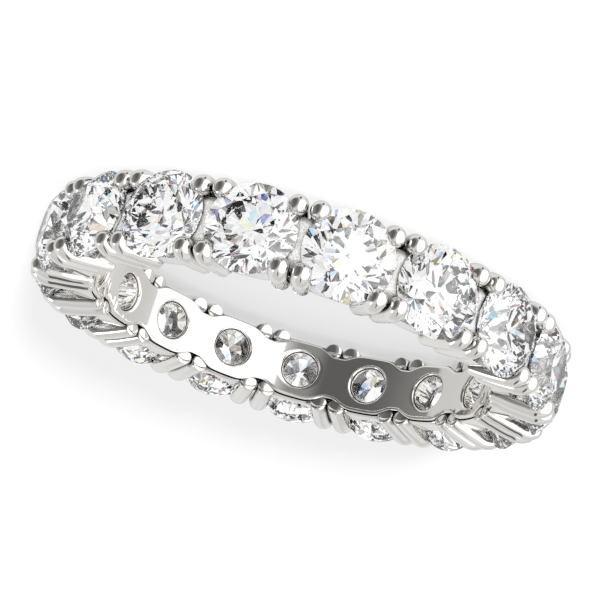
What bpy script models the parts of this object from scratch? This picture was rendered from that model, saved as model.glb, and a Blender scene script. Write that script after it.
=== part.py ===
"""Diamond wedding band: brilliant-cut stones all the way round, each held by four prongs of one cast band.

The ring lies on its side. Its axis is +Z, the floor is z = 0, and the middle of the first stone is on +X.
A bay is the stretch of band between the middles of two neighbouring stones. It is symmetric about the plane
between the two stones and about the ring's middle plane, so only a quarter of it is modelled.
"""

import math

import bmesh
import bpy
from mathutils import Matrix, Vector

MM = 0.001

# Driving dimensions of the ring
STONE_COUNT = 17
FINGER_RADIUS = 8.50 * MM
SEAT_HEIGHT = 2.17 * MM  # from the finger to the middle of the girdles
STONE_SPACING = 0.25 * MM  # between two neighbouring girdles
CLEARANCE = 0.05 * MM  # between a stone and the metal

# Cut of the stones, as angles and as shares of the stone's radius
CROWN_ANGLE = math.radians(36.5)
PAVILION_ANGLE = math.radians(40.75)
TABLE_SHARE = 0.57
STAR_SHARE = 0.50
LOWER_HALF_SHARE = 0.78
GIRDLE_THICKNESS = 0.12 * MM
MAIN_FACETS = 8
GIRDLE_SIDES = 2 * MAIN_FACETS

# Band
BASE_THICKNESS = 1.02 * MM
LIP_WIDTH = 0.16 * MM
LIP_HEIGHT = 0.08 * MM
HOLE_RADIUS = 0.89 * MM
HOLE_RIM = 0.33 * MM  # from the hole to the edge that touches the finger
HOLE_SIDES = 12

# Prongs
PRONG_RADIUS = 0.37 * MM
PRONG_GAP = 0.17 * MM  # between the two prongs of a pair
PRONG_REACH = 0.14 * MM  # from the girdle's edge out to the prong's centre line
PRONG_SINK = 0.14 * MM  # of the prong into the side of the band
PRONG_TIP_HEIGHT = 0.37 * MM  # above the middle of the girdle
PRONG_TIP_LEAN = 0.39 * MM  # of the tip over the stone
PRONG_FOOT_HEIGHT = 0.05 * MM  # above the finger
PRONG_BEVEL_RESOLUTION = 2

# Sections of half a bay, from the prongs (0) to the middle of the stone (1)
# share of the half bay, share of the swell of the edge, share of the wall's height above the base
BAY_SECTIONS = (
    (0.00, 0.00, 1.00),
    (0.40, 0.55, 1.00),
    (0.50, 0.68, 0.05),
    (1.00, 1.00, 0.00),
)

# Sections of a prong, from its foot to its tip
# share of the straight height, share of the lean, thickness as a share of the prong's radius
PRONG_SECTIONS = (
    (0.00, 0.00, 0.62),
    (0.11, 0.00, 0.92),
    (0.81, 0.00, 1.03),
    (0.90, 0.02, 1.18),
    (0.97, 0.40, 1.08),
    (1.00, 1.00, 0.68),
)

# Sizes that follow
PITCH = 2 * math.pi / STONE_COUNT
HALF_PITCH = PITCH / 2
GIRDLE_RING_RADIUS = FINGER_RADIUS + SEAT_HEIGHT
STONE_RADIUS = GIRDLE_RING_RADIUS * math.tan(HALF_PITCH) - STONE_SPACING / 2
CORNER_RADIUS = STONE_RADIUS / math.cos(math.pi / GIRDLE_SIDES)
HALF_WIDTH = STONE_RADIUS
FACET_STEP = 2 * math.pi / MAIN_FACETS
HALF_STEP = FACET_STEP / 2
QUARTER_STEP = FACET_STEP / 4

# A prong's centre line: its distance from the plane between two stones, from the plane of the stone's
# axis and from the ring's middle plane
PRONG_BESIDE = PRONG_RADIUS + PRONG_GAP / 2
PRONG_AWAY = GIRDLE_RING_RADIUS * math.tan(HALF_PITCH) - PRONG_BESIDE
PRONG_WIDTH = math.sqrt((STONE_RADIUS + PRONG_REACH) ** 2 - PRONG_AWAY**2)

# The band's edge inside the lip, from the ring's middle plane
EDGE_AT_PRONGS = PRONG_WIDTH - PRONG_RADIUS + PRONG_SINK - LIP_WIDTH
EDGE_AT_STONE = HOLE_RADIUS + HOLE_RIM

METAL_COLOUR = (0.78, 0.76, 0.73, 1.0)
METAL_ROUGHNESS = 0.08
STONE_COLOUR = (0.97, 0.98, 1.0, 1.0)
STONE_IOR = 2.417

MERGE_DISTANCE = 1e-7
FLAT_ANGLE = math.radians(0.5)
STONE_MERGE_SHARE = 1e-4


def clear_scene():
    for item in list(bpy.data.objects):
        bpy.data.objects.remove(item, do_unlink=True)


def new_collection(name):
    collection = bpy.data.collections.new(name)
    bpy.context.scene.collection.children.link(collection)
    return collection


def new_object(name, data, collection):
    item = bpy.data.objects.new(name, data)
    collection.objects.link(item)
    return item


def mesh_from(bm, name):
    bmesh.ops.recalc_face_normals(bm, faces=bm.faces)
    mesh = bpy.data.meshes.new(name)
    bm.to_mesh(mesh)
    bm.free()
    return mesh


def principled(name, colour, roughness, metallic):
    material = bpy.data.materials.new(name)
    material.use_nodes = True
    shader = material.node_tree.nodes["Principled BSDF"]
    shader.inputs["Base Color"].default_value = colour
    shader.inputs["Roughness"].default_value = roughness
    shader.inputs["Metallic"].default_value = metallic
    return material


def metal_material():
    return principled("white_metal", METAL_COLOUR, METAL_ROUGHNESS, 1.0)


def stone_material():
    material = principled("diamond", STONE_COLOUR, 0.0, 0.0)
    shader = material.node_tree.nodes["Principled BSDF"]
    shader.inputs["IOR"].default_value = STONE_IOR
    shader.inputs["Transmission Weight"].default_value = 1.0
    return material


def brilliant_levels(radius, girdle):
    """Radii and heights of the rings of corners, with the girdle's middle at height 0."""
    half = math.cos(HALF_STEP)
    table = TABLE_SHARE * radius
    star = table * half + STAR_SHARE * (radius - table * half)
    lower = (1 - LOWER_HALF_SHARE) * radius
    top = girdle / 2
    depth = radius * math.tan(PAVILION_ANGLE)
    return {
        "table": (table, top + (radius - table) * math.tan(CROWN_ANGLE)),
        "star": (star, top + (radius - star * half) * math.tan(CROWN_ANGLE)),
        "girdle": (radius, top),
        "lower": (lower, lower * half * math.tan(PAVILION_ANGLE) - depth - top),
        "culet": (0.0, -depth - top),
    }


def facet_plane(azimuth, inner, outer):
    """A plane facing azimuth, through two points given as distance along azimuth and height."""
    run = outer[0] - inner[0]
    rise = outer[1] - inner[1]
    normal = Vector((-rise, 0.0, run))
    if inner[1] < 0:
        normal = -normal
    turn = Matrix.Rotation(azimuth, 3, "Z")
    return turn @ Vector((outer[0], 0.0, outer[1])), turn @ normal.normalized()


def brilliant_planes(levels):
    table, star = levels["table"], levels["star"]
    top, lower, culet = levels["girdle"], levels["lower"], levels["culet"]
    bottom = (top[0], -top[1])
    half = math.cos(HALF_STEP)
    quarter = math.cos(QUARTER_STEP)
    planes = []
    for k in range(MAIN_FACETS):
        main = k * FACET_STEP
        planes.append(facet_plane(main, table, top))
        planes.append(facet_plane(main, culet, bottom))
        planes.append(facet_plane(main + HALF_STEP, (table[0] * half, table[1]), star))
        for side in (-1, 1):
            azimuth = main + side * QUARTER_STEP
            upper_tip = (star[0] * quarter, star[1])
            lower_tip = (lower[0] * quarter, lower[1])
            planes.append(facet_plane(azimuth, upper_tip, (top[0] * quarter, top[1])))
            planes.append(facet_plane(azimuth, lower_tip, (bottom[0] * quarter, bottom[1])))
    return planes


def cut_facet(bm, point, normal):
    geometry = bm.verts[:] + bm.edges[:] + bm.faces[:]
    cut = bmesh.ops.bisect_plane(bm, geom=geometry, plane_co=point, plane_no=normal, clear_outer=True)
    edges = [e for e in cut["geom_cut"] if isinstance(e, bmesh.types.BMEdge) and e.is_boundary]
    if edges:
        bmesh.ops.contextual_create(bm, geom=edges)


def brilliant_mesh(radius, girdle):
    """A round brilliant, cut facet by facet from a prism. It is worked at radius 1 and then scaled."""
    levels = brilliant_levels(1.0, girdle / radius)
    top = levels["table"][1]
    length = top - 2 * levels["culet"][1]
    bm = bmesh.new()
    bmesh.ops.create_cone(
        bm, cap_ends=True, segments=GIRDLE_SIDES, radius1=1.0, radius2=1.0, depth=length
    )
    bmesh.ops.translate(bm, verts=bm.verts, vec=(0, 0, top - length / 2))
    for point, normal in brilliant_planes(levels):
        cut_facet(bm, point, normal)
    bmesh.ops.remove_doubles(bm, verts=bm.verts, dist=STONE_MERGE_SHARE)
    bmesh.ops.scale(bm, verts=bm.verts, vec=(radius, radius, radius))
    return mesh_from(bm, "brilliant")


def stone_frame(azimuth):
    """Girdle in the ring, table outwards, with a flat of the girdle turned to each side of the ring."""
    outward = Matrix.Rotation(azimuth, 4, "Z") @ Matrix.Translation((GIRDLE_RING_RADIUS, 0, 0))
    return outward @ Matrix.Rotation(math.pi / 2, 4, "Y") @ Matrix.Rotation(QUARTER_STEP, 4, "Z")


def make_stones(collection, material):
    mesh = brilliant_mesh(CORNER_RADIUS, GIRDLE_THICKNESS)
    mesh.materials.append(material)
    lift = Matrix.Translation((0, 0, HALF_WIDTH))
    for k in range(STONE_COUNT):
        stone = new_object(f"stone_{k + 1:02d}", mesh, collection)
        stone.matrix_world = lift @ stone_frame(k * PITCH)


def make_seat_cutter(collection):
    """A turned body that clears the stone all round."""
    levels = brilliant_levels(CORNER_RADIUS, GIRDLE_THICKNESS)
    table, star, top, lower, culet = (levels[k] for k in ("table", "star", "girdle", "lower", "culet"))
    clear = CLEARANCE
    crown_rise = clear / math.cos(CROWN_ANGLE)
    pavilion_drop = clear / math.cos(PAVILION_ANGLE)
    profile = (
        (0.0, table[1] + clear),
        (table[0] + clear, table[1] + clear),
        (star[0] + clear, star[1] + crown_rise),
        (top[0] + clear, top[1] + clear),
        (top[0] + clear, -top[1] - clear),
        (lower[0], lower[1] - pavilion_drop),
        (0.0, culet[1] - pavilion_drop),
    )
    bm = bmesh.new()
    corners = [bm.verts.new((r, 0.0, z)) for r, z in profile]
    for first, second in zip(corners, corners[1:]):
        bm.edges.new((first, second))
    mesh = bpy.data.meshes.new("seat_cutter")
    bm.to_mesh(mesh)
    bm.free()
    cutter = new_object("seat_cutter", mesh, collection)
    screw = cutter.modifiers.new("turn", "SCREW")
    screw.steps = GIRDLE_SIDES
    screw.render_steps = GIRDLE_SIDES
    screw.use_merge_vertices = True
    screw.merge_threshold = MERGE_DISTANCE
    cutter.matrix_world = stone_frame(HALF_PITCH)
    return hide_cutter(cutter)


def make_hole_cutter(collection):
    """The round hole under a stone, from inside the finger space up into the seat."""
    depth = 2 * SEAT_HEIGHT
    bm = bmesh.new()
    bmesh.ops.create_cone(
        bm, cap_ends=True, segments=HOLE_SIDES, radius1=HOLE_RADIUS, radius2=HOLE_RADIUS, depth=depth
    )
    bmesh.ops.rotate(bm, verts=bm.verts, matrix=Matrix.Rotation(math.pi / HOLE_SIDES, 3, "Z"))
    bmesh.ops.rotate(bm, verts=bm.verts, matrix=Matrix.Rotation(math.pi / 2, 3, "Y"))
    bmesh.ops.translate(bm, verts=bm.verts, vec=(FINGER_RADIUS, 0, 0))
    bmesh.ops.rotate(bm, verts=bm.verts, matrix=Matrix.Rotation(HALF_PITCH, 3, "Z"))
    return hide_cutter(new_object("hole_cutter", mesh_from(bm, "hole_cutter"), collection))


def hide_cutter(cutter):
    cutter.display_type = "WIRE"
    cutter.hide_render = True
    return cutter


def wall_section(swell, crest):
    """Corners of the band's section, as distance from the axis and height, once round."""
    edge = EDGE_AT_PRONGS + swell * (EDGE_AT_STONE - EDGE_AT_PRONGS)
    side = edge + LIP_WIDTH
    lip = FINGER_RADIUS + LIP_HEIGHT
    outer = FINGER_RADIUS + BASE_THICKNESS + crest * (SEAT_HEIGHT - BASE_THICKNESS)
    upper = [(FINGER_RADIUS, edge), (lip, side), (outer, side)]
    lower = [(r, -z) for r, z in reversed(upper)]
    return upper + lower


def make_wall(collection):
    """Half a bay of the band as a loft, with one more section past each of its two planes."""
    before = (-BAY_SECTIONS[1][0], *BAY_SECTIONS[1][1:])
    after = (2 - BAY_SECTIONS[-2][0], *BAY_SECTIONS[-2][1:])
    bm = bmesh.new()
    rings = []
    for share, swell, crest in (before, *BAY_SECTIONS, after):
        angle = share * HALF_PITCH
        across = Vector((math.cos(angle), math.sin(angle), 0))
        ring = [bm.verts.new(across * r + Vector((0, 0, z))) for r, z in wall_section(swell, crest)]
        rings.append(ring)
    count = len(rings[0])
    for first, second in zip(rings, rings[1:]):
        for i in range(count):
            j = (i + 1) % count
            bm.faces.new((first[i], first[j], second[j], second[i]))
    bm.faces.new(rings[0])
    bm.faces.new(rings[-1])
    bmesh.ops.triangulate(bm, faces=bm.faces)
    return new_object("quarter_bay", mesh_from(bm, "quarter_bay"), collection)


def prong_points():
    """Centre line of a prong, with its thickness, beside the plane between two stones."""
    foot = FINGER_RADIUS + PRONG_FOOT_HEIGHT
    tip = GIRDLE_RING_RADIUS + PRONG_TIP_HEIGHT
    points = []
    for rise, lean, thickness in PRONG_SECTIONS:
        height = foot + rise * (tip - foot)
        points.append(((height, PRONG_BESIDE, PRONG_WIDTH - lean * PRONG_TIP_LEAN), thickness))
    return points


def make_prong(collection):
    curve = bpy.data.curves.new("prong", "CURVE")
    curve.dimensions = "3D"
    curve.bevel_depth = PRONG_RADIUS
    curve.bevel_resolution = PRONG_BEVEL_RESOLUTION
    curve.use_fill_caps = True
    points = prong_points()
    spline = curve.splines.new("POLY")
    spline.points.add(len(points) - 1)
    for point, (place, thickness) in zip(spline.points, points):
        point.co = (*place, 1.0)
        point.radius = thickness
    rod = new_object("prong", curve, collection)
    return hide_cutter(as_mesh(rod, collection))


def as_mesh(item, collection):
    """A mesh object in place of an object, as it looks with its curve or modifiers worked out."""
    bpy.context.view_layer.update()
    depsgraph = bpy.context.evaluated_depsgraph_get()
    mesh = bpy.data.meshes.new_from_object(item.evaluated_get(depsgraph))
    bm = bmesh.new()
    bm.from_mesh(mesh)
    bmesh.ops.remove_doubles(bm, verts=bm.verts, dist=MERGE_DISTANCE)
    bmesh.ops.recalc_face_normals(bm, faces=bm.faces)
    bm.to_mesh(mesh)
    bm.free()
    name = item.name
    place = item.matrix_world.copy()
    bpy.data.objects.remove(item, do_unlink=True)
    made = new_object(name, mesh, collection)
    made.matrix_world = place
    return made


def add_boolean(item, other, operation):
    boolean = item.modifiers.new(other.name, "BOOLEAN")
    boolean.operation = operation
    boolean.object = other
    boolean.solver = "EXACT"


def keep_quarter(item):
    """Cuts the bay down to the part between its two planes of symmetry and the middle of the stone."""
    bm = bmesh.new()
    bm.from_mesh(item.data)
    middle_of_stone = Vector((-math.sin(HALF_PITCH), math.cos(HALF_PITCH), 0))
    for normal in (Vector((0, -1, 0)), middle_of_stone, Vector((0, 0, -1))):
        geometry = bm.verts[:] + bm.edges[:] + bm.faces[:]
        bmesh.ops.bisect_plane(
            bm, geom=geometry, dist=MERGE_DISTANCE, plane_co=(0, 0, 0), plane_no=normal, clear_outer=True
        )
    bmesh.ops.dissolve_limit(bm, angle_limit=FLAT_ANGLE, verts=bm.verts, edges=bm.edges)
    bm.to_mesh(item.data)
    bm.free()


def make_bay(collection):
    bay = make_wall(collection)
    prong = make_prong(collection)
    seat = make_seat_cutter(collection)
    hole = make_hole_cutter(collection)
    add_boolean(bay, prong, "UNION")
    add_boolean(bay, seat, "DIFFERENCE")
    add_boolean(bay, hole, "DIFFERENCE")
    bay = as_mesh(bay, collection)
    keep_quarter(bay)
    mirror = bay.modifiers.new("both_sides", "MIRROR")
    mirror.use_axis = (False, True, True)
    mirror.merge_threshold = MERGE_DISTANCE
    return hide_cutter(as_mesh(bay, collection))


def make_band(collection, helpers, material):
    """The whole ring: the bay once for each stone, welded where the bays meet."""
    bay = make_bay(helpers)
    bm = bmesh.new()
    for k in range(STONE_COUNT):
        first = len(bm.verts)
        bm.from_mesh(bay.data)
        bm.verts.ensure_lookup_table()
        turn = Matrix.Rotation((k + 0.5) * PITCH, 3, "Z")
        bmesh.ops.rotate(bm, verts=bm.verts[first:], matrix=turn)
    bmesh.ops.remove_doubles(bm, verts=bm.verts, dist=MERGE_DISTANCE)
    mesh = mesh_from(bm, "band")
    mesh.materials.append(material)
    band = new_object("band", mesh, collection)
    band.location = (0, 0, HALF_WIDTH)
    return band


def main():
    clear_scene()
    ring = new_collection("diamond_wedding_band")
    helpers = new_collection("cutters")
    make_band(ring, helpers, metal_material())
    make_stones(ring, stone_material())


main()
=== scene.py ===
"""Looks of the diamond wedding band: polished white metal and 17 round brilliants, lying on a pale floor.

Lengths are in millimetres and are scaled to metres when a piece is made. The ring's axis is +Z, the middle
of the first stone is on +X, and the floor is z = 0. A piece is modelled about the ring's middle plane and is
then lifted to lie on the floor. A bay is the stretch of the band that holds one stone.
"""

import math
import random
from collections import namedtuple

import bmesh
import bpy
from mathutils import Matrix, Vector


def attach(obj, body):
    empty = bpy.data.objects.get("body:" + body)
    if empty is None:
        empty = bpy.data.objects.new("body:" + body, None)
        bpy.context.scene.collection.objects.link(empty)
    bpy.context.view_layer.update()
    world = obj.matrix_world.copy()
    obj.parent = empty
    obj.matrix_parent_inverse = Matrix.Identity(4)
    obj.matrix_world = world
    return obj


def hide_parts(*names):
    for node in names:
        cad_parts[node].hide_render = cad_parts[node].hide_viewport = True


MM = 0.001  # metres in a millimetre

# Ring and stones
STONE_COUNT = 17
FINGER_RADIUS = 8.50
SEAT_HEIGHT = 2.17  # from the finger to the middle of the girdles
STONE_SPACING = 0.25
PITCH = 2 * math.pi / STONE_COUNT
HALF_PITCH = PITCH / 2
GIRDLE_RING_RADIUS = FINGER_RADIUS + SEAT_HEIGHT
STONE_RADIUS = GIRDLE_RING_RADIUS * math.tan(HALF_PITCH) - STONE_SPACING / 2
HALF_WIDTH = STONE_RADIUS

# Cut of the stones
CROWN_ANGLE = math.radians(36.5)
PAVILION_ANGLE = math.radians(40.75)
TABLE_SHARE = 0.57
STAR_SHARE = 0.50
LOWER_HALF_SHARE = 0.78
GIRDLE_THICKNESS = 0.12
GIRDLE_SIDES = 96
GIRDLE_POLISH = 0.0005  # taken off the radius, so that the girdle stays inside the ring's box
MAIN_FACETS = 8
FACET_STEP = 2 * math.pi / MAIN_FACETS
HALF_STEP = FACET_STEP / 2
QUARTER_STEP = FACET_STEP / 4
STONE_TURN_SEED = 7

# Band
BASE_THICKNESS = 1.02
LIP_WIDTH = 0.12
EDGE_AT_STONE = 1.26  # from the middle plane to the edge of the finger side
CREST_BEVEL = 0.045
SIDE_SHARES = (0.33, 0.66)  # of the way up the band's side, where its rings lie
SLOT_START = 0.70  # where the wall between two stones begins to fall away to the slot of a pair of prongs
SLOT_END = 1.12
SLOT_DEPTH = 0.36
PRONG_SINK = 0.14
WALL_SHARE = 0.40  # of half a bay that the wall between two stones takes
RAMP_SHARE = 0.10

# Hole under a stone
HOLE_RADIUS = 0.755
HOLE_DEPTHS = (0.45, 0.20)  # from the finger side, of the rings inside the hole
HOLE_AIM_RADIUS = 9.6  # from the ring's axis, where the hole's upper edge aims at the outline
HOLE_AIM_ROUNDS = 4
SLEEVE_WIDTH = 0.02  # of the thin ring that lines the hole
SLEEVE_DEPTH = 0.11
SEAM_WIDTH = 0.035
SEAM_DEPTH = 0.19
SEAM_CHAMFER = 0.004
RIM_WIDTH = 0.12
RIM_DEPTH = 0.10

# Seat of a stone
SEAT_CLEARANCE = 0.02
SEAT_SLOPE = math.tan(PAVILION_ANGLE)
SEAT_RADIUS = STONE_RADIUS + SEAT_CLEARANCE
SEAT_TIP = (
    GIRDLE_RING_RADIUS
    - GIRDLE_THICKNESS / 2
    - STONE_RADIUS * SEAT_SLOPE
    - SEAT_CLEARANCE / math.cos(PAVILION_ANGLE)
)
SEAT_SHARE_LEAST = 0.3  # of the way out to the outline, where the search for the seat's edge starts
SEAT_SEARCH_ROUNDS = 24

# Lip, from the finger side outwards: a soft curve, a tight turn, a groove and a bead
LIP_INSET = 0.13  # where the finger side begins to curve away before its edge
LIP_CURVE_DEPTH = 0.042
LIP_ROUND = 0.035
LIP_TURN_END = math.radians(85)
LIP_GROOVE = 0.26
LIP_GROOVE_WIDTH = 0.045
LIP_BEAD_DROP = 0.13  # from the edge of the finger side down to the bead beyond the groove
LIP_BEAD_START = math.radians(35)
LIP_BEAD = (LIP_WIDTH - LIP_GROOVE_WIDTH) / (1 - math.sin(LIP_BEAD_START))

# Swell of the band's edge from the prongs (0) to the middle of a stone (1)
EDGE_SWELL = (
    (0.00, 0.00),
    (0.14, 0.03),
    (0.25, 0.25),
    (0.40, 0.64),
    (0.55, 0.89),
    (0.72, 0.98),
    (1.00, 1.00),
)

# Prongs. Heights are distances from the ring's axis.
PRONG_RADIUS = 0.37
PRONG_GAP = 0.17
PRONG_REACH = 0.14
PRONG_BESIDE = PRONG_RADIUS + PRONG_GAP / 2
PRONG_AWAY = GIRDLE_RING_RADIUS * math.tan(HALF_PITCH) - PRONG_BESIDE
PRONG_WIDTH = math.sqrt((STONE_RADIUS + PRONG_REACH) ** 2 - PRONG_AWAY**2)
FOOT_LIFT = 0.05  # of the prongs' feet from the finger side
PRONG_FOOT = FINGER_RADIUS + FOOT_LIFT
FOOT_RADIUS = 0.40
FOOT_CAP = 0.15
FOOT_POWER = 0.80
FOOT_TOGETHER = 0.04  # how much nearer the other foot of the pair each foot stands
FOOT_SHIFT_START = 8.6
FOOT_SHIFT_END = 10.2
HEAD_RADIUS = 0.42
HEAD_HEIGHT = 10.84
EDGE_AT_PRONGS = PRONG_WIDTH - PRONG_RADIUS + PRONG_SINK - LIP_WIDTH

# A prong's radius by its height, from above its foot to the widest place of its head
PRONG_SWELL = (
    (PRONG_FOOT + FOOT_CAP, FOOT_RADIUS),
    (9.40, 0.40),
    (10.30, 0.40),
    (10.68, 0.412),
    (HEAD_HEIGHT, HEAD_RADIUS),
)

# How far a prong's middle line bows out from PRONG_WIDTH, by its height
PRONG_BOW = (
    (8.40, -0.15),
    (9.10, -0.04),
    (9.70, 0.06),
    (10.20, 0.12),
    (10.52, 0.14),
    (10.84, 0.01),
    (11.15, -0.25),
)
BOW_SPAN = 0.01  # each way from a height, over which the bow's slope is taken

# Mesh density
SIDE_STEPS = 40
END_STEPS = 20
FACE_RINGS = 7
TOP_RINGS = 8
FILLET_STEPS = 5
LIP_STEPS = 5
CREST_STEPS = 3
FOOT_STEPS = 7
HEAD_STEPS = 12
PRONG_SIDES = 32
PRONG_STEPS = 22
CUTTER_SIDES = 128
SMOOTH_ANGLE = math.radians(32)
MERGE_DISTANCE = 1e-5
FACET_MERGE_DISTANCE = 2e-4
TIP_RADIUS = 1e-6  # a ring with a smaller radius is a single point

# Metal. Scales of patterns are in waves to a metre.
METAL_DULL = (0.885, 0.862, 0.825)
METAL_BRIGHT = (0.905, 0.885, 0.850)
# Painted shade: the near black that the metal's colour darkens towards in crevices and between parts
METAL_PAINTED_SHADE = (0.02, 0.019, 0.018)
METAL_ROUGHNESS = (0.02, 0.045)
METAL_CLOUD_SCALE = 700.0
METAL_FINE_SCALE = 9000.0
METAL_BUMP_STRENGTH = 0.02
METAL_BUMP_DEPTH = 0.01
CLOUD_DETAIL = 3.0
FINE_DETAIL = 2.0
CLOUD_RANGE = (0.3, 0.7)
# Painted shade: ambient occlusion within this reach darkens the metal's colour in its crevices and between
# its parts
PAINTED_SHADE_REACH = 0.38
PAINTED_SHADE_SAMPLES = 6
PAINTED_SHADE_DARKEST = 0.08  # openness at which the painted crevice shade is darkest
PAINTED_SHADE_CLEAR = 0.66  # openness from which no crevice shade is painted
FINGER_SIDE = (8.9, 9.1)  # nearer the finger than this the painted crevice shade is darker
FINGER_PAINTED_SHADE = 0.24
FINGER_PAINTED_SHADE_POWER = 1.5

# Seats and satin walls, by the distance from the ring's axis
SEAT_START = (8.9, 9.0)  # from here to the satin the seats have a paler, neutral metal and their painted crevice shade is held at SEAT_SHADE or lighter
SEAT_SHADE = 0.85
SEAT_METAL = (0.905, 0.89, 0.87)
SATIN_START = (9.70, 9.80)
# Painted shade on the satin walls, by openness: darkest at the first value below, none from the second
SATIN_PAINTED_SHADE_DARKEST = 0.04
SATIN_PAINTED_SHADE_CLEAR = 0.24
SATIN_ROUGHNESS = 0.62
SATIN_METALLIC = 0.15
SATIN_DULL = (0.62, 0.61, 0.59)
SATIN_BRIGHT = (0.96, 0.95, 0.93)
SATIN_GRAIN_SCALE = 14000.0
SATIN_GRAIN_RANGE = (0.35, 0.65)

# Diamond
DIAMOND_IOR = 2.417
DIAMOND_COOL = (0.985, 0.99, 1.0)
DIAMOND_CLEAR = (1.0, 1.0, 1.0)
DIAMOND_CLOUD_SCALE = 400.0

# Camera, with its place measured from the ring's middle
CAMERA_PLACE = Vector((74.1626, -116.5969, 37.5760))
CAMERA_RIGHT = Vector((-0.76561, -0.57801, -0.28240))
CAMERA_UP = Vector((0.38405, -0.05849, -0.92146))
CAMERA_BACK = CAMERA_RIGHT.cross(CAMERA_UP).normalized()
CAMERA_LENS = 206.99
CAMERA_SENSOR = 36.0
CAMERA_CLIP = (0.001, 20.0)  # in metres

# Floor and its light
FLOOR_REACH = 1.5  # half its side, in metres
FLOOR_CELLS = 8
FLOOR_DARK = (0.165, 0.165, 0.165)
FLOOR_PALE = (0.17, 0.17, 0.17)
FLOOR_CLOUD_SCALE = 40.0
FLOOR_ROUGHNESS = 0.9
FLOOR_GLOW = 0.6
FLOOR_FILL = 1.5
FLOOR_LIGHT = 1.4
FLOOR_LIGHT_RISE = 0.30
FLOOR_LIGHT_POWER = 6.0
LIGHT_ASIDE = 0.10  # of the way from the camera's side to the picture's right
SUN_HEIGHT = math.radians(7.5)
SUN_ANGLE = math.radians(7)
SUN_STRENGTH = 35.0
BACKDROP = 1.08  # what the camera sees past the ring and the floor

# Light inside the stones: a bright tent with grey and dark openings, and white behind the ring
SPARK_SCALE = 2.6
SPARK_WHITE = 1.15
SPARK_GREY = 0.50
SPARK_DARK = 0.03
SPARK_GREY_FADE = (0.45, 0.48)
SPARK_DARK_FADE = (0.42, 0.44)
SPARK_BACK_FADE = (-0.10, -0.50)
FIRE_SPREAD = 0.06
FIRE_SCALE = 3.0
FIRE_DETAIL = 0.0
FIRE_MIDDLE = (0.5, 0.5, 0.5)

# The surroundings are drawn on a round chart about the direction to the camera. A point's distance from the
# chart's middle is its angle from that direction, as a share of CHART_REACH, and u and v are rightwards and
# upwards in the picture.
CHART_REACH = math.radians(150)
CHART_LIMIT = 0.99999  # of the cosine, so that the chart has no gap at its middle or its rim
GENERAL_LIGHT = 0.76
GENERAL_LOW = GENERAL_LIGHT * 0.86
GENERAL_HIGH = GENERAL_LIGHT * 1.08
GENERAL_SCALE = 1.7
GENERAL_FADE = (0.38, 0.60)
LIGHT_DETAIL = 1.0

# A patch of the chart. A power of 2 makes it an oval and a higher one makes it squarer. Its top leans to the
# right by lean times its height, and it fades in between the two values of fade.
Patch = namedtuple("Patch", "middle half power lean light fade")

# The large screen, grey at its edge and dark in its middle. Its edge fades by the level's distance from 1,
# measured in SCREEN_SOFTNESS.
SCREEN_EDGE = Patch((-0.29, 0.20), (0.345, 0.41), 2.2, 0.35, 0.28, (-1.0, 1.0))
SCREEN_DARK = Patch((-0.355, 0.20), (0.28, 0.36), 2.2, 0.35, 0.12, (1.25, 0.70))
SCREEN_SOFTNESS = (0.24, 0.05)  # of its edge, on its right and on its left
SCREEN_SOFTNESS_FADE = (-0.20, -0.45)
SCREEN_LIFT = 0.15  # how much lighter its dark middle is on its left
SCREEN_LIFT_FADE = (-0.25, -0.62)

# The lights and screens that are drawn over the large screen, in turn
PATCHES = (
    Patch((0.325, -0.02), (0.305, 0.44), 2.6, 0.20, 1.7, (1.06, 0.92)),
    Patch((-0.47, -0.28), (0.07, 0.07), 2.0, 0.0, 3.0, (1.2, 0.8)),
    Patch((-0.09, -0.50), (0.045, 0.16), 2.0, 0.0, 0.12, (1.3, 0.6)),
    Patch((0.22, 0.60), (0.075, 0.11), 2.0, 0.5, 0.03, (1.2, 0.8)),
)

# How often light is followed from surface to surface
MAX_BOUNCES = 32
TRANSMISSION_BOUNCES = 24
GLOSSY_BOUNCES = 10
DIFFUSE_BOUNCES = 3


# Small helpers


def unit(vector):
    return Vector(vector).normalized()


def smooth_between(table, x):
    """A curve through the table's points, without overshoot at its ends."""
    if x <= table[0][0]:
        return table[0][1]
    if x >= table[-1][0]:
        return table[-1][1]
    last = len(table) - 1
    i = next(k for k in range(last) if x <= table[k + 1][0])
    x0, y0 = table[i]
    x1, y1 = table[i + 1]
    before = table[max(i - 1, 0)]
    after = table[min(i + 2, last)]
    slope0 = (y1 - before[1]) / (x1 - before[0]) if i > 0 else 0.0
    slope1 = (after[1] - y0) / (after[0] - x0) if i + 2 <= last else 0.0
    width = x1 - x0
    t = (x - x0) / width
    return (
        (2 * t**3 - 3 * t**2 + 1) * y0
        + (t**3 - 2 * t**2 + t) * width * slope0
        + (3 * t**2 - 2 * t**3) * y1
        + (t**3 - t**2) * width * slope1
    )


def smoothstep(low, high, x):
    t = min(1.0, max(0.0, (x - low) / (high - low)))
    return t * t * (3 - 2 * t)


def quarter_turn(steps):
    """The angles of a quarter turn, both ends included."""
    return [math.pi / 2 * i / steps for i in range(steps + 1)]


def mesh_from(bm, name):
    mesh = bpy.data.meshes.new(name)
    bm.to_mesh(mesh)
    bm.free()
    return mesh


def finish_mesh(bm, name):
    """A mesh in metres, lying on the floor, from a bmesh in millimetres about the ring's middle."""
    bmesh.ops.remove_doubles(bm, verts=bm.verts, dist=MERGE_DISTANCE)
    bmesh.ops.recalc_face_normals(bm, faces=bm.faces)
    mesh = mesh_from(bm, name)
    mesh.transform(Matrix.Translation((0, 0, HALF_WIDTH)))
    mesh.transform(Matrix.Scale(MM, 4))
    return mesh


def smooth_mesh(bm, name):
    """The same, smooth except at its creases."""
    mesh = finish_mesh(bm, name)
    mesh.shade_smooth()
    mesh.set_sharp_from_angle(angle=SMOOTH_ANGLE)
    return mesh


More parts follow.
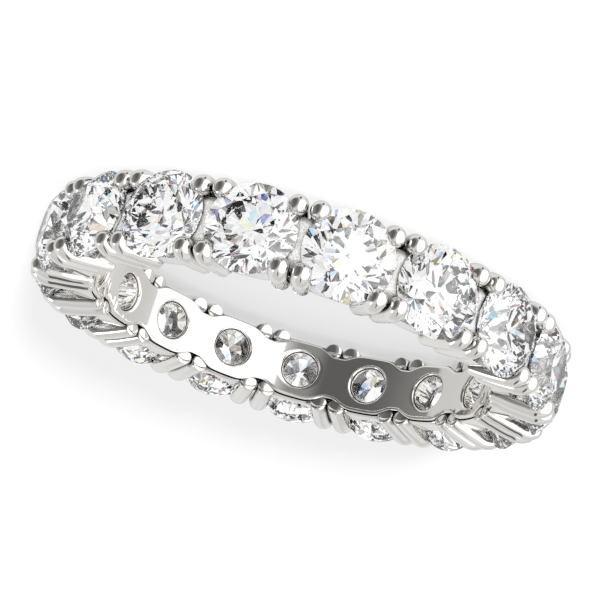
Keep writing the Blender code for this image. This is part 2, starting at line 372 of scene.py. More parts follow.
def add_copy(bm, mesh, place):
    first = len(bm.verts)
    bm.from_mesh(mesh)
    bm.verts.ensure_lookup_table()
    bmesh.ops.transform(bm, matrix=place, verts=bm.verts[first:])


def add_object(name, data):
    item = bpy.data.objects.new(name, data)
    bpy.context.scene.collection.objects.link(item)
    return item


def dress(item, material, slot, *nodes):
    item.data.materials.clear()
    item.data.materials.append(material)
    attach(item, "root")
    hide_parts(*nodes)


# Stones


def brilliant_levels(radius):
    """Radii and heights of the rings of corners, with the girdle's middle at height 0."""
    half = math.cos(HALF_STEP)
    table = TABLE_SHARE * radius
    star = table * half + STAR_SHARE * (radius - table * half)
    lower = (1 - LOWER_HALF_SHARE) * radius
    top = GIRDLE_THICKNESS / 2
    depth = radius * math.tan(PAVILION_ANGLE)
    return {
        "table": (table, top + (radius - table) * math.tan(CROWN_ANGLE)),
        "star": (star, top + (radius - star * half) * math.tan(CROWN_ANGLE)),
        "girdle": (radius, top),
        "lower": (lower, lower * half * math.tan(PAVILION_ANGLE) - depth - top),
        "culet": (0.0, -depth - top),
    }


def facet_plane(azimuth, inner, outer):
    """A plane facing azimuth, through two points given as distance along azimuth and height."""
    run = outer[0] - inner[0]
    rise = outer[1] - inner[1]
    normal = Vector((-rise, 0.0, run))
    if inner[1] < 0:
        normal = -normal
    turn = Matrix.Rotation(azimuth, 3, "Z")
    return turn @ Vector((outer[0], 0.0, outer[1])), turn @ normal.normalized()


def brilliant_planes(levels):
    table, star = levels["table"], levels["star"]
    top, lower, culet = levels["girdle"], levels["lower"], levels["culet"]
    bottom = (top[0], -top[1])
    half = math.cos(HALF_STEP)
    quarter = math.cos(QUARTER_STEP)
    planes = []
    for k in range(MAIN_FACETS):
        main = k * FACET_STEP
        planes.append(facet_plane(main, table, top))
        planes.append(facet_plane(main, culet, bottom))
        planes.append(facet_plane(main + HALF_STEP, (table[0] * half, table[1]), star))
        for side in (-1, 1):
            azimuth = main + side * QUARTER_STEP
            upper_tip = (star[0] * quarter, star[1])
            lower_tip = (lower[0] * quarter, lower[1])
            planes.append(facet_plane(azimuth, upper_tip, (top[0] * quarter, top[1])))
            planes.append(facet_plane(azimuth, lower_tip, (bottom[0] * quarter, bottom[1])))
    return planes


def cut_facet(bm, point, normal):
    geometry = bm.verts[:] + bm.edges[:] + bm.faces[:]
    cut = bmesh.ops.bisect_plane(bm, geom=geometry, plane_co=point, plane_no=normal, clear_outer=True)
    edges = [e for e in cut["geom_cut"] if isinstance(e, bmesh.types.BMEdge) and e.is_boundary]
    if edges:
        bmesh.ops.contextual_create(bm, geom=edges)


def brilliant():
    """A round brilliant with a round girdle, its axis along Z and the girdle's middle at 0."""
    radius = STONE_RADIUS - GIRDLE_POLISH
    levels = brilliant_levels(radius)
    top = levels["table"][1]
    length = top - 2 * levels["culet"][1]
    bm = bmesh.new()
    bmesh.ops.create_cone(
        bm,
        cap_ends=True,
        segments=GIRDLE_SIDES,
        radius1=radius,
        radius2=radius,
        depth=length,
    )
    bmesh.ops.translate(bm, verts=bm.verts, vec=(0, 0, top - length / 2))
    for point, normal in brilliant_planes(levels):
        cut_facet(bm, point, normal)
    bmesh.ops.remove_doubles(bm, verts=bm.verts, dist=FACET_MERGE_DISTANCE)
    return bm


def stone_frame(azimuth, turn):
    """Girdle in the ring and table outwards, with the stone turned about its own axis."""
    outward = Matrix.Rotation(azimuth, 4, "Z") @ Matrix.Translation((GIRDLE_RING_RADIUS, 0, 0))
    return outward @ Matrix.Rotation(math.pi / 2, 4, "Y") @ Matrix.Rotation(turn, 4, "Z")


def make_stones(material):
    draw = random.Random(STONE_TURN_SEED)
    for k in range(STONE_COUNT):
        turn = draw.uniform(0, FACET_STEP)
        bm = brilliant()
        bmesh.ops.transform(bm, matrix=stone_frame(k * PITCH, turn), verts=bm.verts)
        name = f"diamond_{k + 1:02d}"
        stone = add_object(name, finish_mesh(bm, name))
        dress(stone, material, "diamond", f"stone_{k + 1:02d}")


# Band


def edge_at(share):
    return EDGE_AT_PRONGS + smooth_between(EDGE_SWELL, share) * (EDGE_AT_STONE - EDGE_AT_PRONGS)


def share_at(angle):
    """0 at the prongs, 1 at the middle of the stone."""
    return 1 - abs(angle) / HALF_PITCH


def loft_radius(angle, z):
    """Outer radius of the band before the seats are cut: the base, and the wall between two stones."""
    wall = 1 - smoothstep(WALL_SHARE, WALL_SHARE + RAMP_SHARE, share_at(angle))
    base = FINGER_RADIUS + BASE_THICKNESS
    crest = GIRDLE_RING_RADIUS - SLOT_DEPTH * smoothstep(SLOT_START, SLOT_END, abs(z))
    return base + wall * (crest - base)


def seat_radius_at(angle, z):
    """Distance from the ring's axis to the stone's seat, a cone about the stone's own axis."""
    c = math.cos(angle)
    s = math.sin(angle)
    a = c * c - SEAT_SLOPE**2 * s * s
    root = (SEAT_TIP * c) ** 2 - a * (SEAT_TIP**2 - SEAT_SLOPE**2 * z * z)
    return (SEAT_TIP * c + math.sqrt(max(root, 0.0))) / a


def round_point(radius, angle, z):
    return Vector((radius * math.cos(angle), radius * math.sin(angle), z))


def top_point(angle, z):
    return round_point(min(loft_radius(angle, z), seat_radius_at(angle, z)), angle, z)


def bay_outline():
    """Points round a bay's edge: angle from the stone, and height as a share of the edge's height."""
    points = []
    for sign in (1, -1):
        for i in range(END_STEPS):
            points.append((sign * HALF_PITCH, sign * (2 * i / END_STEPS - 1)))
        for i in range(SIDE_STEPS):
            points.append((sign * HALF_PITCH * (1 - 2 * i / SIDE_STEPS), sign))
    return points


def finger_point(y, z, depth=0.0):
    return Vector((math.sqrt(FINGER_RADIUS**2 - y * y) + depth, y, z))


def hole_steps():
    """Radii and depths of rings from inside the hole, over its lining and seam, to the end of its rim."""
    steps = [(HOLE_RADIUS, depth) for depth in HOLE_DEPTHS]
    for a in quarter_turn(FILLET_STEPS):
        out = HOLE_RADIUS + SLEEVE_WIDTH * (1 - math.cos(a))
        steps.append((out, SLEEVE_DEPTH + SLEEVE_WIDTH * (1 - math.sin(a))))
    seam = HOLE_RADIUS + SLEEVE_WIDTH
    steps.append((seam + SEAM_CHAMFER, SEAM_DEPTH))
    steps.append((seam + SEAM_WIDTH - SEAM_CHAMFER, SEAM_DEPTH))
    for a in quarter_turn(FILLET_STEPS):
        steps.append((seam + SEAM_WIDTH + RIM_WIDTH * (1 - math.cos(a)), RIM_DEPTH * (1 - math.sin(a))))
    return steps


def finger_rings(outline):
    """Rings on the finger side, from inside the hole, round its rim and out to the band's edge."""
    steps = hole_steps()
    edges = []
    for angle, w in outline:
        edge = edge_at(share_at(angle))
        edges.append(Vector((FINGER_RADIUS * math.sin(angle), w * (edge - LIP_INSET))))
    rings = []
    for radius, depth in steps:
        corners = [e.normalized() * radius for e in edges]
        rings.append([finger_point(p.x, p.y, depth) for p in corners])
    start = steps[-1][0]
    for j in range(1, FACE_RINGS + 1):
        corners = [(e.normalized() * start).lerp(e, j / FACE_RINGS) for e in edges]
        rings.append([finger_point(p.x, p.y) for p in corners])
    return rings


def lip_profile():
    """The lip's section as steps outward and sideways from the edge of the finger side."""
    points = []
    curve_width = LIP_INSET - LIP_ROUND / 2
    for i in range(1, LIP_STEPS + 1):
        share = i / LIP_STEPS
        points.append((LIP_CURVE_DEPTH * share**2, curve_width * share - LIP_INSET))
    first = math.atan(2 * LIP_CURVE_DEPTH / curve_width)
    out, side = points[-1]
    for i in range(1, LIP_STEPS):
        a = first + (LIP_TURN_END - first) * i / (LIP_STEPS - 1)
        across = LIP_ROUND * (math.sin(a) - math.sin(first))
        points.append((out + LIP_ROUND * (math.cos(first) - math.cos(a)), side + across))
    edge = points[-1][0]
    points.append((edge + LIP_GROOVE, 0.0))
    points.append((edge + LIP_GROOVE, LIP_GROOVE_WIDTH))
    centre_out = edge + LIP_BEAD_DROP + LIP_BEAD * math.cos(LIP_BEAD_START)
    for i in range(LIP_STEPS + 1):
        a = LIP_BEAD_START + (math.pi / 2 - LIP_BEAD_START) * i / LIP_STEPS
        side = LIP_WIDTH - LIP_BEAD * (1 - math.sin(a))
        points.append((centre_out - LIP_BEAD * math.cos(a), side))
    return points


def side_rings(outline, top_edge):
    """Rings round the lip and up the band's side. On the bay's ends they fall on the edge itself."""
    rings = []
    for out, side in lip_profile():
        ring = []
        for angle, w in outline:
            z = w * (edge_at(share_at(angle)) + side)
            ring.append(round_point(FINGER_RADIUS + out, angle, z))
        rings.append(ring)
    last = rings[-1]
    for share in SIDE_SHARES:
        rings.append([a.lerp(b, share) for a, b in zip(last, top_edge)])
    return rings


def seat_share(angle, z):
    """Share of the way from the hole's middle to a point of the outline where the seat's edge is."""

    def reach(s):
        p = top_point(angle * s, z * s)
        return math.hypot(p.y, p.z)

    if reach(1.0) < SEAT_RADIUS:
        return 1.0
    low, high = SEAT_SHARE_LEAST, 1.0
    for _ in range(SEAT_SEARCH_ROUNDS):
        middle = (low + high) / 2
        if reach(middle) < SEAT_RADIUS:
            low = middle
        else:
            high = middle
    return low


def hole_top(angle, z):
    """The point of the hole's upper edge on the way to a point of the outline."""
    aim = Vector((HOLE_AIM_RADIUS * math.sin(angle), z)).normalized() * HOLE_RADIUS
    r = FINGER_RADIUS + BASE_THICKNESS
    for _ in range(HOLE_AIM_ROUNDS):
        turn = math.asin(aim.x / r)
        r = min(loft_radius(turn, aim.y), seat_radius_at(turn, aim.y))
    return turn, aim.y


def crest_points(low, angle, rises):
    """The rounded way up from the seat's edge to the crest of the wall, or the same point again."""
    if not rises:
        return [low.copy() for _ in range(CREST_STEPS + 1)]
    crest = math.sqrt(loft_radius(angle, low.z) ** 2 - low.y**2)
    bevel = min(CREST_BEVEL, max(crest - low.x, 0.0))
    outward = Vector((0, low.y, low.z)).normalized()
    points = []
    for a in quarter_turn(CREST_STEPS):
        side = outward * CREST_BEVEL * (1 - math.cos(a))
        points.append(Vector((crest - bevel * (1 - math.sin(a)), low.y + side.y, low.z + side.z)))
    return points


def top_rings(outline):
    """Rings on the side of the stones, from the band's edge in to the hole."""
    columns = []
    for angle, w in outline:
        z = w * (edge_at(share_at(angle)) + LIP_WIDTH)
        start = hole_top(angle, z)
        share = seat_share(angle, z)
        foot = (angle * share, z * share)
        column = []
        for j in range(TOP_RINGS + 1):
            s = j / TOP_RINGS
            a = start[0] + (foot[0] - start[0]) * s
            b = start[1] + (foot[1] - start[1]) * s
            column.append(top_point(a, b))
        column.extend(crest_points(column[-1], foot[0], share < 1.0))
        r = loft_radius(angle, z) if share < 1.0 else column[-1].xy.length
        column.append(round_point(r, angle, z))
        columns.append(column)
    count = len(columns[0])
    return [[c[j] for c in columns] for j in reversed(range(count))]


def add_rings(bm, rings, closed=True):
    made = [[bm.verts.new(p) for p in ring] for ring in rings]
    count = len(made[0])
    for first, second in zip(made, made[1:]):
        for i in range(count if closed else count - 1):
            j = (i + 1) % count
            bm.faces.new([first[i], first[j], second[j], second[i]])


def bay_mesh():
    """A bay of the band about the stone on +X: finger side, lip, side, top with its seat, and hole."""
    outline = bay_outline()
    finger = finger_rings(outline)
    top = top_rings(outline)
    sides = side_rings(outline, top[0])
    bm = bmesh.new()
    add_rings(bm, finger)
    add_rings(bm, top + [finger[0]])
    total = len(outline)
    rings = [finger[-1]] + sides + [top[0]]
    for start in (END_STEPS, 2 * END_STEPS + SIDE_STEPS):
        strip = range(start, start + SIDE_STEPS + 1)
        add_rings(bm, [[ring[i % total] for i in strip] for ring in rings], closed=False)
    bmesh.ops.remove_doubles(bm, verts=bm.verts, dist=MERGE_DISTANCE)
    bmesh.ops.dissolve_degenerate(bm, edges=bm.edges, dist=MERGE_DISTANCE)
    return mesh_from(bm, "bay")


def make_base(material):
    bay = bay_mesh()
    bm = bmesh.new()
    for k in range(STONE_COUNT):
        add_copy(bm, bay, Matrix.Rotation(k * PITCH, 4, "Z"))
    mesh = smooth_mesh(bm, "band_base")
    dress(add_object("band_base", mesh), material, "white_metal", "band")


# Prongs


def prong_profile():
    """Height and radius of a prong's rings, from its foot to the widest place of its head."""
    points = []
    for a in quarter_turn(FOOT_STEPS)[:-1]:
        out = FOOT_CAP * (1 - math.cos(a) ** FOOT_POWER)
        points.append((PRONG_FOOT + out, FOOT_RADIUS * math.sin(a) ** FOOT_POWER))
    low = PRONG_SWELL[0][0]
    high = PRONG_SWELL[-1][0]
    for i in range(PRONG_STEPS + 1):
        height = low + (high - low) * i / PRONG_STEPS
        points.append((height, smooth_between(PRONG_SWELL, height)))
    return points


def bow_at(height):
    return PRONG_WIDTH + smooth_between(PRONG_BOW, height)


def prong_rings():
    """Middle, direction and radius of the rings of a prong, which ends in half a ball."""
    rings = []
    for height, radius in prong_profile():
        slope = (bow_at(height + BOW_SPAN) - bow_at(height - BOW_SPAN)) / (2 * BOW_SPAN)
        along = Vector((1.0, 0.0, slope)).normalized()
        beside = PRONG_BESIDE - FOOT_TOGETHER * (1 - smoothstep(FOOT_SHIFT_START, FOOT_SHIFT_END, height))
        rings.append((Vector((height, beside, bow_at(height))), along, radius))
    middle, along, radius = rings[-1]
    for a in quarter_turn(HEAD_STEPS)[1:]:
        rings.append((middle + along * radius * math.sin(a), along, radius * math.cos(a)))
    return rings


def add_circle(bm, middle, side, up, radius, count):
    """Corners of a circle that side and up span, or one corner where it is a tip."""
    if radius < TIP_RADIUS:
        return [bm.verts.new(middle)]
    ring = []
    for i in range(count):
        a = 2 * math.pi * i / count
        ring.append(bm.verts.new(middle + side * radius * math.cos(a) + up * radius * math.sin(a)))
    return ring


def skin_circles(bm, rings):
    """Faces from each circle to the next, and to a tip where there is one."""
    for first, second in zip(rings, rings[1:]):
        count = max(len(first), len(second))
        for i in range(count):
            j = (i + 1) % count
            corners = [first[i % len(first)], first[j % len(first)]]
            corners += [second[j % len(second)], second[i % len(second)]]
            bm.faces.new(list(dict.fromkeys(corners)))
    bmesh.ops.recalc_face_normals(bm, faces=bm.faces)


def prong_mesh():
    """A prong beside the plane y = 0 between two stones, before the stone's seat is cut into it."""
    bm = bmesh.new()
    across = Vector((0.0, 1.0, 0.0))
    rings = []
    for middle, along, radius in prong_rings():
        rings.append(add_circle(bm, middle, across, along.cross(across), radius, PRONG_SIDES))
    skin_circles(bm, rings)
    return mesh_from(bm, "prong")


def seat_cutter():
    """A turned body that clears the stone beside the prong, as one closed mesh."""
    levels = brilliant_levels(STONE_RADIUS)
    table, top, culet = levels["table"], levels["girdle"], levels["culet"]
    clear = SEAT_CLEARANCE
    profile = (
        (0.0, table[1] + clear),
        (table[0], table[1] + clear),
        (top[0] + clear, top[1] + clear),
        (top[0] + clear, -top[1] - clear),
        (0.0, culet[1] - clear / math.cos(PAVILION_ANGLE)),
    )
    bm = bmesh.new()
    x_axis = Vector((1.0, 0.0, 0.0))
    y_axis = Vector((0.0, 1.0, 0.0))
    rings = []
    for radius, height in profile:
        rings.append(add_circle(bm, Vector((0, 0, height)), x_axis, y_axis, radius, CUTTER_SIDES))
    skin_circles(bm, rings)
    bmesh.ops.transform(bm, matrix=stone_frame(HALF_PITCH, 0.0), verts=bm.verts)
    return mesh_from(bm, "seat_cutter")


def cut_mesh(mesh, cutter):
    """The first mesh less the second."""
    item = add_object("cut", mesh)
    tool = add_object("tool", cutter)
    boolean = item.modifiers.new("seat", "BOOLEAN")
    boolean.operation = "DIFFERENCE"
    boolean.object = tool
    boolean.solver = "EXACT"
    bpy.context.view_layer.update()
    depsgraph = bpy.context.evaluated_depsgraph_get()
    made = bpy.data.meshes.new_from_object(item.evaluated_get(depsgraph))
    bpy.data.objects.remove(item, do_unlink=True)
    bpy.data.objects.remove(tool, do_unlink=True)
    return made


def make_prongs(material):
    prong = cut_mesh(prong_mesh(), seat_cutter())
    bm = bmesh.new()
    for k in range(STONE_COUNT):
        turn = Matrix.Rotation((k + 0.5) * PITCH, 4, "Z")
        for y_side in (-1, 1):
            for z_side in (-1, 1):
                add_copy(bm, prong, turn @ Matrix.Diagonal((1, y_side, z_side, 1)))
    mesh = smooth_mesh(bm, "prongs")
    dress(add_object("prongs", mesh), material, "white_metal", "band")


# Nodes


class Nodes:
    """Adds nodes to a tree. A value is a socket, which is linked, or else a number, vector or colour."""

    def __init__(self, tree):
        self.tree = tree

    def add(self, kind):
        return self.tree.nodes.new(kind)

    def put(self, value, socket):
        if isinstance(value, bpy.types.NodeSocket):
            self.tree.links.new(value, socket)
        else:
            socket.default_value = value

    def operate(self, kind, operation, values):
        node = self.add(kind)
        node.operation = operation
        for value, socket in zip(values, node.inputs):
            self.put(value, socket)
        return node.outputs

    def math(self, operation, *values):
        return self.operate("ShaderNodeMath", operation, values)["Value"]

    def vector(self, operation, *values):
        return self.operate("ShaderNodeVectorMath", operation, values)["Vector"]

    def dot(self, first, second):
        return self.operate("ShaderNodeVectorMath", "DOT_PRODUCT", (first, second))["Value"]

    def length(self, vector):
        return self.operate("ShaderNodeVectorMath", "LENGTH", (vector,))["Value"]

    def clamp(self, value, low, high):
        return self.math("MINIMUM", self.math("MAXIMUM", value, low), high)

    def blend(self, first, second, factor):
        """first where factor is 0, second where it is 1."""
        change = self.math("SUBTRACT", second, first)
        return self.math("ADD", first, self.math("MULTIPLY", change, factor))

    def map_range(self, value, span, result=(0.0, 1.0), curve="LINEAR"):
        """The value taken from the span's two numbers to the result's, and held between them."""
        node = self.add("ShaderNodeMapRange")
        node.interpolation_type = curve
        for name, number in zip(("From Min", "From Max", "To Min", "To Max"), (*span, *result)):
            node.inputs[name].default_value = number
        self.put(value, node.inputs["Value"])
        return node.outputs["Result"]

    def ramp(self, value, low, high):
        """0 at low, 1 at high, smooth between. low may be above high."""
        if low > high:
            return self.map_range(value, (high, low), (1.0, 0.0), "SMOOTHSTEP")
        return self.map_range(value, (low, high), (0.0, 1.0), "SMOOTHSTEP")

    def noise(self, place, scale, detail, output="Fac"):
        node = self.add("ShaderNodeTexNoise")
        self.put(place, node.inputs["Vector"])
        self.put(scale, node.inputs["Scale"])
        self.put(detail, node.inputs["Detail"])
        return node.outputs[output]

    def mix_colour(self, factor, first, second):
        """first where factor is 0, second where it is 1. A colour is a socket or three numbers."""
        node = self.add("ShaderNodeMix")
        node.data_type = "RGBA"
        self.put(factor, node.inputs["Factor"])
        sockets = [s for s in node.inputs if s.type == "RGBA"]
        for colour, socket in zip((first, second), sockets):
            self.put((*colour, 1.0) if isinstance(colour, tuple) else colour, socket)
        return next(s for s in node.outputs if s.type == "RGBA")

    def object_place(self):
        return self.add("ShaderNodeTexCoord").outputs["Object"]

    def axis_distance(self, place):
        """Distance from the ring's axis, in millimetres as in the named values."""
        flat = self.vector("MULTIPLY", place, (1.0, 1.0, 0.0))
        return self.math("DIVIDE", self.length(flat), MM)


# Materials


def new_material(name):
    material = bpy.data.materials.new(name)
    material.use_nodes = True
    n = Nodes(material.node_tree)
    return material, n, n.tree.nodes["Principled BSDF"].inputs


def openness(n):
    """How open the surroundings of a point are."""
    node = n.add("ShaderNodeAmbientOcclusion")
    node.samples = PAINTED_SHADE_SAMPLES
    n.put(PAINTED_SHADE_REACH * MM, node.inputs["Distance"])
    return node.outputs["AO"]


def painted_shade_share(n, opening, distance):
    """Share of the metal's own colour kept against the painted crevice shade: 1 in the open, 0 deep in a
    crevice.
    """
    near = n.map_range(distance, FINGER_SIDE, (1.0, 0.0))
    span = n.math("ADD", PAINTED_SHADE_CLEAR - PAINTED_SHADE_DARKEST, n.math("MULTIPLY", near, FINGER_PAINTED_SHADE))
    share = n.math("DIVIDE", n.math("SUBTRACT", opening, PAINTED_SHADE_DARKEST), span)
    power = n.math("ADD", 1.0, n.math("MULTIPLY", near, FINGER_PAINTED_SHADE_POWER))
    return n.math("POWER", n.clamp(share, 0.0, 1.0), power)


def polished_colour(n, cloud):
    return n.mix_colour(n.map_range(cloud, CLOUD_RANGE), METAL_DULL, METAL_BRIGHT)


def polished_roughness(n, cloud):
    return n.map_range(cloud, CLOUD_RANGE, METAL_ROUGHNESS)


def add_polish_marks(n, shader, place):
    """The faintest unevenness that polishing leaves."""
    bump = n.add("ShaderNodeBump")
    n.put(METAL_BUMP_STRENGTH, bump.inputs["Strength"])
    n.put(METAL_BUMP_DEPTH * MM, bump.inputs["Distance"])
    n.put(n.noise(place, METAL_FINE_SCALE, FINE_DETAIL), bump.inputs["Height"])
    n.put(bump.outputs["Normal"], shader["Normal"])


def prong_material():
    """Polished and plated white metal with a slightly uneven gloss, and painted shade deep in its crevices.
    """
    material, n, shader = new_material("white_metal_prongs")
    place = n.object_place()
    cloud = n.noise(place, METAL_CLOUD_SCALE, CLOUD_DETAIL)
    # Painted shade: the colour darkens towards a near black where ambient occlusion finds the metal closed
    # in
    shade = painted_shade_share(n, openness(n), n.axis_distance(place))
    n.put(n.mix_colour(shade, METAL_PAINTED_SHADE, polished_colour(n, cloud)), shader["Base Color"])
    n.put(polished_roughness(n, cloud), shader["Roughness"])
    n.put(1.0, shader["Metallic"])
    add_polish_marks(n, shader, place)
    return material


def band_material():
    """The same metal with painted shade in its crevices, but satin and grained on the walls between the
    stones, where no wheel polishes it; the satin walls have their own painted shade, and the seats are paler
    and less shaded.
    """
    material, n, shader = new_material("white_metal_band")
    place = n.object_place()
    cloud = n.noise(place, METAL_CLOUD_SCALE, CLOUD_DETAIL)
    distance = n.axis_distance(place)
    seat = n.map_range(distance, SEAT_START)
    satin = n.map_range(distance, SATIN_START)
    grain = n.map_range(n.noise(place, SATIN_GRAIN_SCALE, FINE_DETAIL), SATIN_GRAIN_RANGE)
    metal = n.mix_colour(seat, polished_colour(n, cloud), SEAT_METAL)
    colour = n.mix_colour(satin, metal, n.mix_colour(grain, SATIN_DULL, SATIN_BRIGHT))
    # Painted shade: ambient occlusion darkens the colour in crevices and on the satin walls, and the seats
    # are held lighter
    opening = openness(n)
    wall_painted_shade = n.map_range(opening, (SATIN_PAINTED_SHADE_DARKEST, SATIN_PAINTED_SHADE_CLEAR))
    least_painted_shade = n.blend(n.math("MULTIPLY", seat, SEAT_SHADE), wall_painted_shade, satin)
    shade = n.math("MAXIMUM", painted_shade_share(n, opening, distance), least_painted_shade)
    n.put(n.mix_colour(shade, METAL_PAINTED_SHADE, colour), shader["Base Color"])
    n.put(n.blend(polished_roughness(n, cloud), SATIN_ROUGHNESS, satin), shader["Roughness"])
    n.put(n.blend(1.0, SATIN_METALLIC, satin), shader["Metallic"])
    add_polish_marks(n, shader, place)
    return material


def diamond_material():
    """Clear diamond, with the faintest unevenness in its colour."""
    material, n, shader = new_material("diamond_clear")
    cloud = n.noise(n.object_place(), DIAMOND_CLOUD_SCALE, CLOUD_DETAIL)
    colour = n.mix_colour(n.map_range(cloud, CLOUD_RANGE), DIAMOND_COOL, DIAMOND_CLEAR)
    n.put(colour, shader["Base Color"])
    n.put(0.0, shader["Roughness"])
    n.put(DIAMOND_IOR, shader["IOR"])
    n.put(1.0, shader["Transmission Weight"])
    return material


def floor_material():
    material, n, shader = new_material("studio_floor")
    cloud = n.noise(n.object_place(), FLOOR_CLOUD_SCALE, CLOUD_DETAIL)
    colour = n.mix_colour(n.map_range(cloud, CLOUD_RANGE), FLOOR_DARK, FLOOR_PALE)
    n.put(colour, shader["Base Color"])
    n.put(FLOOR_ROUGHNESS, shader["Roughness"])
    n.put(0.0, shader["Specular IOR Level"])
    n.put((1.0, 1.0, 1.0, 1.0), shader["Emission Color"])
    n.put(FLOOR_GLOW, shader["Emission Strength"])
    return material


# Studio


def make_floor():
    """A pale floor that isn't seen in the metal or through the stones."""
    bm = bmesh.new()
    bmesh.ops.create_grid(bm, x_segments=FLOOR_CELLS, y_segments=FLOOR_CELLS, size=FLOOR_REACH)
    mesh = mesh_from(bm, "floor")
    mesh.materials.append(floor_material())
    floor = add_object("floor", mesh)
    floor.visible_glossy = False
    floor.visible_transmission = False
    floor.visible_shadow = False
    return floor


def light_middle(rise):
    """The direction that the floor's light comes from: the camera's side, and the picture's right."""
    ahead = unit((CAMERA_PLACE.x, CAMERA_PLACE.y, 0))
    right = unit((CAMERA_RIGHT.x, CAMERA_RIGHT.y, 0))
    return unit(unit(ahead + right * LIGHT_ASIDE) + Vector((0, 0, rise)))


def make_sun(floor):
    """A low and very soft sun that lights the floor alone and gives it the ring's long pale shadow."""
    data = bpy.data.lights.new("low_sun", "SUN")
    data.energy = SUN_STRENGTH
    data.angle = SUN_ANGLE
    sun = add_object("low_sun", data)
    sun.rotation_euler = light_middle(math.tan(SUN_HEIGHT)).to_track_quat("Z", "Y").to_euler()
    sun.visible_glossy = False
    sun.visible_transmission = False
    lit = bpy.data.collections.new("sunlit")
    lit.objects.link(floor)
    sun.light_linking.receiver_collection = lit


def make_camera():
    data = bpy.data.cameras.new("camera")
    data.lens = CAMERA_LENS
    data.sensor_width = CAMERA_SENSOR
    data.clip_start, data.clip_end = CAMERA_CLIP
    camera = add_object("camera", data)
    right = CAMERA_RIGHT.normalized()
    back = right.cross(CAMERA_UP).normalized()
    up = back.cross(right)
    place = Matrix((right, up, back)).transposed().to_4x4()
    place.translation = (CAMERA_PLACE + Vector((0, 0, HALF_WIDTH))) * MM
    camera.matrix_world = place
    bpy.context.scene.camera = camera


# Surroundings


def patch_level(n, u, v, patch):
    """0 in the middle of a patch of the chart, 1 on its outline and more beyond."""
    along = n.math("SUBTRACT", v, patch.middle[1])
    aside = n.math("SUBTRACT", u, patch.middle[0])
    across = n.math("SUBTRACT", aside, n.math("MULTIPLY", along, patch.lean))
    levels = []
    for value, half in zip((across, along), patch.half):
        share = n.math("ABSOLUTE", n.math("DIVIDE", value, half))
        levels.append(n.math("POWER", share, patch.power))
    return n.math("ADD", *levels)


def draw_patch(n, light, u, v, patch):
    """A patch over the light so far."""
    return n.blend(light, patch.light, n.ramp(patch_level(n, u, v, patch), *patch.fade))


def general_light(n, direction):
    soft = n.noise(direction, GENERAL_SCALE, LIGHT_DETAIL)
    return n.blend(GENERAL_LOW, GENERAL_HIGH, n.ramp(soft, *GENERAL_FADE))


def draw_screen(n, light, u, v):
    """The large screen over the light so far."""
    softness = n.blend(*SCREEN_SOFTNESS, n.ramp(u, *SCREEN_SOFTNESS_FADE))
    edge = n.math("DIVIDE", n.math("SUBTRACT", 1.0, patch_level(n, u, v, SCREEN_EDGE)), softness)
    light = n.blend(light, SCREEN_EDGE.light, n.ramp(edge, *SCREEN_EDGE.fade))
    lift = n.math("MULTIPLY", n.ramp(u, *SCREEN_LIFT_FADE), SCREEN_LIFT)
    lifted = SCREEN_DARK._replace(light=n.math("ADD", SCREEN_DARK.light, lift))
    return draw_patch(n, light, u, v, lifted)


def stone_light(n, direction):
    """What the stones show of their surroundings."""
    pattern = n.noise(direction, SPARK_SCALE, LIGHT_DETAIL)
    light = n.blend(SPARK_GREY, SPARK_WHITE, n.ramp(pattern, *SPARK_GREY_FADE))
    light = n.blend(SPARK_DARK, light, n.ramp(pattern, *SPARK_DARK_FADE))
    return n.blend(light, SPARK_WHITE, n.ramp(n.dot(direction, CAMERA_BACK), *SPARK_BACK_FADE))


def chart_group():
    """Brightness of the surroundings in a direction, for the metal and for the stones."""
    group = bpy.data.node_groups.new("surroundings", "ShaderNodeTree")
    group.interface.new_socket("Direction", in_out="INPUT", socket_type="NodeSocketVector")
    group.interface.new_socket("Light", in_out="OUTPUT", socket_type="NodeSocketFloat")
    group.interface.new_socket("Spark", in_out="OUTPUT", socket_type="NodeSocketFloat")
    n = Nodes(group)
    direction = n.add("NodeGroupInput").outputs["Direction"]
    target = n.add("NodeGroupOutput")
    away = n.math("ARCCOSINE", n.clamp(n.dot(direction, CAMERA_BACK), -CHART_LIMIT, CHART_LIMIT))
    scale = n.math("DIVIDE", away, n.math("MULTIPLY", n.math("SINE", away), CHART_REACH))
    u = n.math("MULTIPLY", n.dot(direction, CAMERA_RIGHT), scale)
    v = n.math("MULTIPLY", n.dot(direction, CAMERA_UP), scale)
    light = draw_screen(n, general_light(n, direction), u, v)
    for patch in PATCHES:
        light = draw_patch(n, light, u, v, patch)
    n.put(light, target.inputs["Light"])
    n.put(stone_light(n, direction), target.inputs["Spark"])
    return group


def floor_light(n, direction):
    """Soft light for the floor and the satin metal, mostly from the sun's side but higher."""
    facing = n.math("MAXIMUM", n.dot(direction, light_middle(FLOOR_LIGHT_RISE)), 0.0)
    lobe = n.math("POWER", facing, FLOOR_LIGHT_POWER)
    return n.math("ADD", FLOOR_FILL, n.math("MULTIPLY", lobe, FLOOR_LIGHT))


def shifted(n, direction, offset, amount):
    """The direction moved by amount times offset."""
    return n.vector("NORMALIZE", n.vector("MULTIPLY_ADD", offset, amount, direction))


def fire_offset(n, direction):
    """An offset that varies smoothly with the direction, by which a stone spreads red and blue apart."""
    wobble = n.noise(direction, FIRE_SCALE, FIRE_DETAIL, "Color")
    return n.vector("SUBTRACT", wobble, FIRE_MIDDLE)


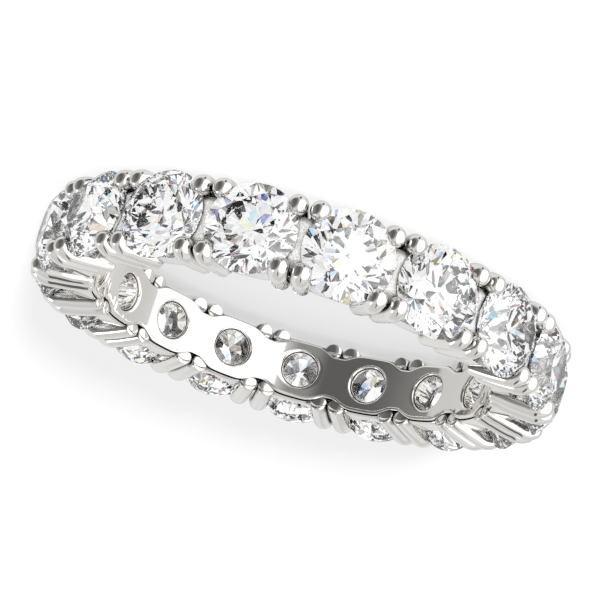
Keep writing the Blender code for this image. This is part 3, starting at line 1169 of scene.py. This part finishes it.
def world_colour(n, direction):
    """Its own light for each kind of ray: past the ring, on the floor, in the metal and in the stones."""
    path = n.add("ShaderNodeLightPath").outputs
    inside = path["Is Transmission Ray"]
    group = chart_group()
    offset = fire_offset(n, direction)
    plain = floor_light(n, direction)
    colour = n.add("ShaderNodeCombineColor")
    for shift, socket in zip((-FIRE_SPREAD, 0.0, FIRE_SPREAD), colour.inputs):
        look = n.add("ShaderNodeGroup")
        look.node_tree = group
        amount = n.math("MULTIPLY", inside, shift)
        n.put(shifted(n, direction, offset, amount), look.inputs["Direction"])
        light = n.blend(look.outputs["Light"], look.outputs["Spark"], inside)
        light = n.blend(light, plain, path["Is Diffuse Ray"])
        n.put(n.blend(light, BACKDROP, path["Is Camera Ray"]), socket)
    return colour.outputs["Color"]


def make_world():
    world = bpy.data.worlds.new("studio")
    bpy.context.scene.world = world
    world.use_nodes = True
    world.cycles.sampling_method = "NONE"
    n = Nodes(world.node_tree)
    n.tree.nodes.clear()
    output = n.add("ShaderNodeOutputWorld")
    shader = n.add("ShaderNodeBackground")
    direction = n.add("ShaderNodeTexCoord").outputs["Generated"]
    n.put(world_colour(n, direction), shader.inputs["Color"])
    n.put(shader.outputs["Background"], output.inputs["Surface"])


def set_picture():
    scene = bpy.context.scene
    scene.view_settings.view_transform = "Standard"
    scene.cycles.max_bounces = MAX_BOUNCES
    scene.cycles.transmission_bounces = TRANSMISSION_BOUNCES
    scene.cycles.glossy_bounces = GLOSSY_BOUNCES
    scene.cycles.diffuse_bounces = DIFFUSE_BOUNCES


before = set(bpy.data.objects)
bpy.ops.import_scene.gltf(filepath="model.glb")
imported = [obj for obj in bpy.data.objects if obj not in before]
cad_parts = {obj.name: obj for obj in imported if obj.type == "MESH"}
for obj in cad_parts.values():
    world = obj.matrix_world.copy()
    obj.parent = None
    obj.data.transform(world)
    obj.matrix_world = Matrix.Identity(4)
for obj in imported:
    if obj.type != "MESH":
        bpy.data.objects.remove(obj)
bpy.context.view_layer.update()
make_base(band_material())
make_prongs(prong_material())
make_stones(diamond_material())
make_sun(make_floor())
make_camera()
make_world()
set_picture()
